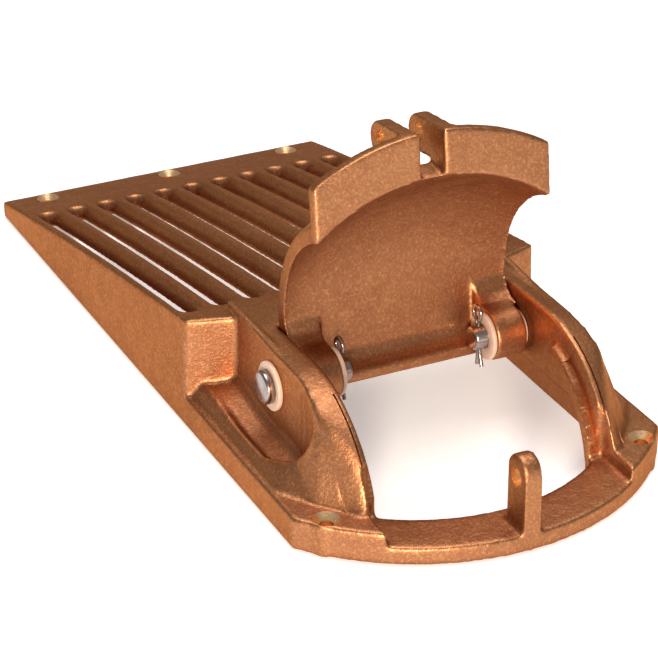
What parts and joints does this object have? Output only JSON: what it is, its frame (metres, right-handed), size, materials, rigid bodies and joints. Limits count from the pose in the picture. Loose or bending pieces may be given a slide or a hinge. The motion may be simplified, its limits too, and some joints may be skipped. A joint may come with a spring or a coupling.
{
  "type": "hull intake strainer with hinged access door",
  "caption": "Slotted cast wedge strainer for a boat's hull intake, with a hinged access door over a round opening, a lock lug and matching door ears.",
  "frame": {"origin": "middle of the bounding box, on the mounting face", "axes": "+Z away from the hull, +Y toward the thin end of the wedge, X along the hinge, symmetric in X"},
  "size_m": [0.1524, 0.34, 0.1304],
  "materials": {
    "cast_bronze": "shot-blasted sand casting, machined bright in the holes",
    "stainless": "bright",
    "nylon": "satin"
  },
  "bodies": {
    "strainer": {"strainer_body": "cast_bronze", "left_outer_washer": "nylon", "right_outer_washer": "nylon"},
    "door": {"access_door": "cast_bronze", "left_hinge_pin": "stainless", "right_hinge_pin": "stainless", "left_cotter_pin": "stainless", "right_cotter_pin": "stainless", "left_middle_washer": "nylon", "right_middle_washer": "nylon", "left_inner_washer": "nylon", "right_inner_washer": "nylon"}
  },
  "joints": [
    {"name": "door_hinge", "type": "hinge", "parent": "strainer", "child": "door", "pos_m": [0, -0.075, 0.0335], "axis": [1, 0, 0], "range_deg": [0, 97]}
  ]
}
